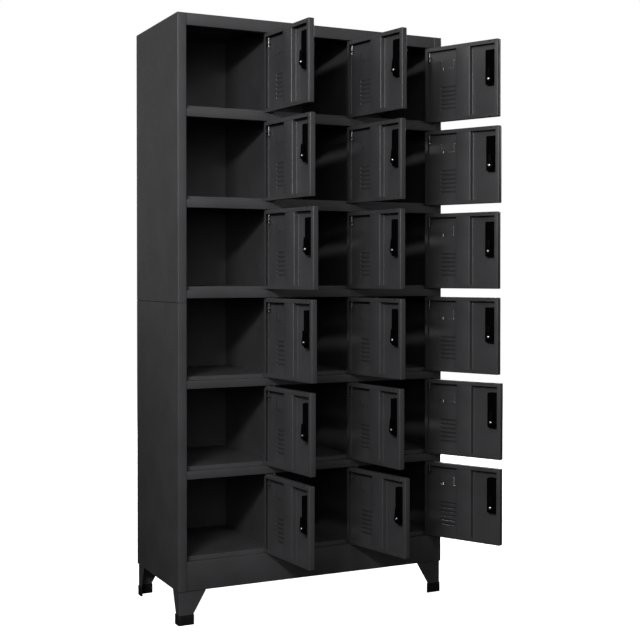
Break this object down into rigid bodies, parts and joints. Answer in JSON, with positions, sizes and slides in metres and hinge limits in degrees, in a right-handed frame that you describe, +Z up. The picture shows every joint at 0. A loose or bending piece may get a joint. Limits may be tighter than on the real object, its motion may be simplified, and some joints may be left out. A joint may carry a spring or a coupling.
{
  "type": "locker cabinet",
  "caption": "Free-standing steel locker cabinet: a grid of compartments with right-hinged doors, cam locks, tapered legs and foot caps.",
  "frame": {"origin": "middle of the underside of the bounding box of the rest pose, doors open, on the floor", "axes": "+Z up, -Y out of the front, +X to the right seen from the front"},
  "size_m": [0.9878, 0.6578, 1.8],
  "materials": {
    "painted_sheet": "matte anthracite powder coat",
    "foot_cap": "matte black",
    "lock_cam": "satin black"
  },
  "bodies": {
    "carcass": {"back_lower": "painted_sheet", "back_upper": "painted_sheet", "base_panel": "painted_sheet", "bottom_shelf": "painted_sheet", "divider_1": "painted_sheet", "divider_2": "painted_sheet", "foot_front_left": "foot_cap", "foot_front_right": "foot_cap", "foot_rear_left": "foot_cap", "foot_rear_right": "foot_cap", "leg_front_left": "painted_sheet", "leg_front_right": "painted_sheet", "leg_rear_left": "painted_sheet", "leg_rear_right": "painted_sheet", "shelf_1": "painted_sheet", "shelf_2": "painted_sheet", "shelf_3": "painted_sheet", "shelf_4": "painted_sheet", "shelf_5": "painted_sheet", "side_left_lower": "painted_sheet", "side_left_upper": "painted_sheet", "side_right_lower": "painted_sheet", "side_right_upper": "painted_sheet", "top_panel": "painted_sheet"},
    "leaf_r1c1": {"door_r1c1": "painted_sheet"},
    "lock_r1c1": {"cam_r1c1": "lock_cam"},
    "leaf_r1c2": {"door_r1c2": "painted_sheet"},
    "lock_r1c2": {"cam_r1c2": "lock_cam"},
    "leaf_r1c3": {"door_r1c3": "painted_sheet"},
    "lock_r1c3": {"cam_r1c3": "lock_cam"},
    "leaf_r2c1": {"door_r2c1": "painted_sheet"},
    "lock_r2c1": {"cam_r2c1": "lock_cam"},
    "leaf_r2c2": {"door_r2c2": "painted_sheet"},
    "lock_r2c2": {"cam_r2c2": "lock_cam"},
    "leaf_r2c3": {"door_r2c3": "painted_sheet"},
    "lock_r2c3": {"cam_r2c3": "lock_cam"},
    "leaf_r3c1": {"door_r3c1": "painted_sheet"},
    "lock_r3c1": {"cam_r3c1": "lock_cam"},
    "leaf_r3c2": {"door_r3c2": "painted_sheet"},
    "lock_r3c2": {"cam_r3c2": "lock_cam"},
    "leaf_r3c3": {"door_r3c3": "painted_sheet"},
    "lock_r3c3": {"cam_r3c3": "lock_cam"},
    "leaf_r4c1": {"door_r4c1": "painted_sheet"},
    "lock_r4c1": {"cam_r4c1": "lock_cam"},
    "leaf_r4c2": {"door_r4c2": "painted_sheet"},
    "lock_r4c2": {"cam_r4c2": "lock_cam"},
    "leaf_r4c3": {"door_r4c3": "painted_sheet"},
    "lock_r4c3": {"cam_r4c3": "lock_cam"},
    "leaf_r5c1": {"door_r5c1": "painted_sheet"},
    "lock_r5c1": {"cam_r5c1": "lock_cam"},
    "leaf_r5c2": {"door_r5c2": "painted_sheet"},
    "lock_r5c2": {"cam_r5c2": "lock_cam"},
    "leaf_r5c3": {"door_r5c3": "painted_sheet"},
    "lock_r5c3": {"cam_r5c3": "lock_cam"},
    "leaf_r6c1": {"door_r6c1": "painted_sheet"},
    "lock_r6c1": {"cam_r6c1": "lock_cam"},
    "leaf_r6c2": {"door_r6c2": "painted_sheet"},
    "lock_r6c2": {"cam_r6c2": "lock_cam"},
    "leaf_r6c3": {"door_r6c3": "painted_sheet"},
    "lock_r6c3": {"cam_r6c3": "lock_cam"}
  },
  "joints": [
    {"name": "door_hinge_r1c1", "type": "hinge", "parent": "carcass", "child": "leaf_r1c1", "pos_m": [-0.20127, -0.0651, 1.6425], "axis": [0, 0, 1], "range_deg": [-94.4, 30.6]},
    {"name": "door_hinge_r1c2", "type": "hinge", "parent": "carcass", "child": "leaf_r1c2", "pos_m": [0.08239, -0.0651, 1.6425], "axis": [0, 0, 1], "range_deg": [-99.2, 25.8]},
    {"name": "door_hinge_r1c3", "type": "hinge", "parent": "carcass", "child": "leaf_r1c3", "pos_m": [0.36606, -0.0651, 1.6425], "axis": [0, 0, 1], "range_deg": [-113.9, 11.1]},
    {"name": "door_hinge_r2c1", "type": "hinge", "parent": "carcass", "child": "leaf_r2c1", "pos_m": [-0.20127, -0.0651, 1.3755], "axis": [0, 0, 1], "range_deg": [-95.3, 29.7]},
    {"name": "door_hinge_r2c2", "type": "hinge", "parent": "carcass", "child": "leaf_r2c2", "pos_m": [0.08239, -0.0651, 1.3755], "axis": [0, 0, 1], "range_deg": [-98.3, 26.7]},
    {"name": "door_hinge_r2c3", "type": "hinge", "parent": "carcass", "child": "leaf_r2c3", "pos_m": [0.36606, -0.0651, 1.3755], "axis": [0, 0, 1], "range_deg": [-115.3, 9.7]},
    {"name": "door_hinge_r3c1", "type": "hinge", "parent": "carcass", "child": "leaf_r3c1", "pos_m": [-0.20127, -0.0651, 1.1085], "axis": [0, 0, 1], "range_deg": [-97.5, 27.5]},
    {"name": "door_hinge_r3c2", "type": "hinge", "parent": "carcass", "child": "leaf_r3c2", "pos_m": [0.08239, -0.0651, 1.1085], "axis": [0, 0, 1], "range_deg": [-98, 27]},
    {"name": "door_hinge_r3c3", "type": "hinge", "parent": "carcass", "child": "leaf_r3c3", "pos_m": [0.36606, -0.0651, 1.1085], "axis": [0, 0, 1], "range_deg": [-114, 11]},
    {"name": "door_hinge_r4c1", "type": "hinge", "parent": "carcass", "child": "leaf_r4c1", "pos_m": [-0.20127, -0.0651, 0.8415], "axis": [0, 0, 1], "range_deg": [-96.5, 28.5]},
    {"name": "door_hinge_r4c2", "type": "hinge", "parent": "carcass", "child": "leaf_r4c2", "pos_m": [0.08239, -0.0651, 0.8415], "axis": [0, 0, 1], "range_deg": [-98.3, 26.7]},
    {"name": "door_hinge_r4c3", "type": "hinge", "parent": "carcass", "child": "leaf_r4c3", "pos_m": [0.36606, -0.0651, 0.8415], "axis": [0, 0, 1], "range_deg": [-114.2, 10.8]},
    {"name": "door_hinge_r5c1", "type": "hinge", "parent": "carcass", "child": "leaf_r5c1", "pos_m": [-0.20127, -0.0651, 0.5745], "axis": [0, 0, 1], "range_deg": [-95.6, 29.4]},
    {"name": "door_hinge_r5c2", "type": "hinge", "parent": "carcass", "child": "leaf_r5c2", "pos_m": [0.08239, -0.0651, 0.5745], "axis": [0, 0, 1], "range_deg": [-97.4, 27.6]},
    {"name": "door_hinge_r5c3", "type": "hinge", "parent": "carcass", "child": "leaf_r5c3", "pos_m": [0.36606, -0.0651, 0.5745], "axis": [0, 0, 1], "range_deg": [-117.7, 7.3]},
    {"name": "door_hinge_r6c1", "type": "hinge", "parent": "carcass", "child": "leaf_r6c1", "pos_m": [-0.20127, -0.0651, 0.3075], "axis": [0, 0, 1], "range_deg": [-94.8, 30.2]},
    {"name": "door_hinge_r6c2", "type": "hinge", "parent": "carcass", "child": "leaf_r6c2", "pos_m": [0.08239, -0.0651, 0.3075], "axis": [0, 0, 1], "range_deg": [-102.1, 22.9]},
    {"name": "door_hinge_r6c3", "type": "hinge", "parent": "carcass", "child": "leaf_r6c3", "pos_m": [0.36606, -0.0651, 0.3075], "axis": [0, 0, 1], "range_deg": [-117.2, 7.8]},
    {"name": "lock_r1c1", "type": "hinge", "parent": "leaf_r1c1", "child": "lock_r1c1", "pos_m": [-0.17728, -0.29861, 1.6395], "axis": [-0.9971, -0.0767, 0], "range_deg": [-90, 0]},
    {"name": "lock_r1c2", "type": "hinge", "parent": "leaf_r1c2", "child": "lock_r1c2", "pos_m": [0.12584, -0.29578, 1.6395], "axis": [-0.9871, -0.1599, 0], "range_deg": [-90, 0]},
    {"name": "lock_r1c3", "type": "hinge", "parent": "leaf_r1c3", "child": "lock_r1c3", "pos_m": [0.46662, -0.27721, 1.6395], "axis": [-0.9143, -0.4051, 0], "range_deg": [-90, 0]},
    {"name": "lock_r2c1", "type": "hinge", "parent": "leaf_r2c1", "child": "lock_r2c1", "pos_m": [-0.17362, -0.2982, 1.3725], "axis": [-0.9957, -0.0924, 0], "range_deg": [-90, 0]},
    {"name": "lock_r2c2", "type": "hinge", "parent": "leaf_r2c2", "child": "lock_r2c2", "pos_m": [0.12221, -0.29644, 1.3725], "axis": [-0.9895, -0.1444, 0], "range_deg": [-90, 0]},
    {"name": "lock_r2c3", "type": "hinge", "parent": "leaf_r2c3", "child": "lock_r2c3", "pos_m": [0.47177, -0.27469, 1.3725], "axis": [-0.9041, -0.4274, 0], "range_deg": [-90, 0]},
    {"name": "lock_r3c1", "type": "hinge", "parent": "leaf_r3c1", "child": "lock_r3c1", "pos_m": [-0.16469, -0.29697, 1.1055], "axis": [-0.9914, -0.1305, 0], "range_deg": [-90, 0]},
    {"name": "lock_r3c2", "type": "hinge", "parent": "leaf_r3c2", "child": "lock_r3c2", "pos_m": [0.121, -0.29664, 1.1055], "axis": [-0.9903, -0.1392, 0], "range_deg": [-90, 0]},
    {"name": "lock_r3c3", "type": "hinge", "parent": "leaf_r3c3", "child": "lock_r3c3", "pos_m": [0.46699, -0.27703, 1.1055], "axis": [-0.9135, -0.4067, 0], "range_deg": [-90, 0]},
    {"name": "lock_r4c1", "type": "hinge", "parent": "leaf_r4c1", "child": "lock_r4c1", "pos_m": [-0.16875, -0.29757, 0.8385], "axis": [-0.9936, -0.1132, 0], "range_deg": [-90, 0]},
    {"name": "lock_r4c2", "type": "hinge", "parent": "leaf_r4c2", "child": "lock_r4c2", "pos_m": [0.12221, -0.29644, 0.8385], "axis": [-0.9895, -0.1444, 0], "range_deg": [-90, 0]},
    {"name": "lock_r4c3", "type": "hinge", "parent": "leaf_r4c3", "child": "lock_r4c3", "pos_m": [0.46773, -0.27668, 0.8385], "axis": [-0.9121, -0.4099, 0], "range_deg": [-90, 0]},
    {"name": "lock_r5c1", "type": "hinge", "parent": "leaf_r5c1", "child": "lock_r5c1", "pos_m": [-0.1724, -0.29806, 0.5715], "axis": [-0.9952, -0.0976, 0], "range_deg": [-90, 0]},
    {"name": "lock_r5c2", "type": "hinge", "parent": "leaf_r5c2", "child": "lock_r5c2", "pos_m": [0.11857, -0.29703, 0.5715], "axis": [-0.9917, -0.1288, 0], "range_deg": [-90, 0]},
    {"name": "lock_r5c3", "type": "hinge", "parent": "leaf_r5c3", "child": "lock_r5c3", "pos_m": [0.48046, -0.27008, 0.5715], "axis": [-0.8854, -0.4648, 0], "range_deg": [-90, 0]},
    {"name": "lock_r6c1", "type": "hinge", "parent": "leaf_r6c1", "child": "lock_r6c1", "pos_m": [-0.17566, -0.29844, 0.3045], "axis": [-0.9965, -0.0837, 0], "range_deg": [-90, 0]},
    {"name": "lock_r6c2", "type": "hinge", "parent": "leaf_r6c2", "child": "lock_r6c2", "pos_m": [0.13745, -0.29329, 0.3045], "axis": [-0.9778, -0.2096, 0], "range_deg": [-90, 0]},
    {"name": "lock_r6c3", "type": "hinge", "parent": "leaf_r6c3", "child": "lock_r6c3", "pos_m": [0.47866, -0.27107, 0.3045], "axis": [-0.8894, -0.4571, 0], "range_deg": [-90, 0]}
  ]
}
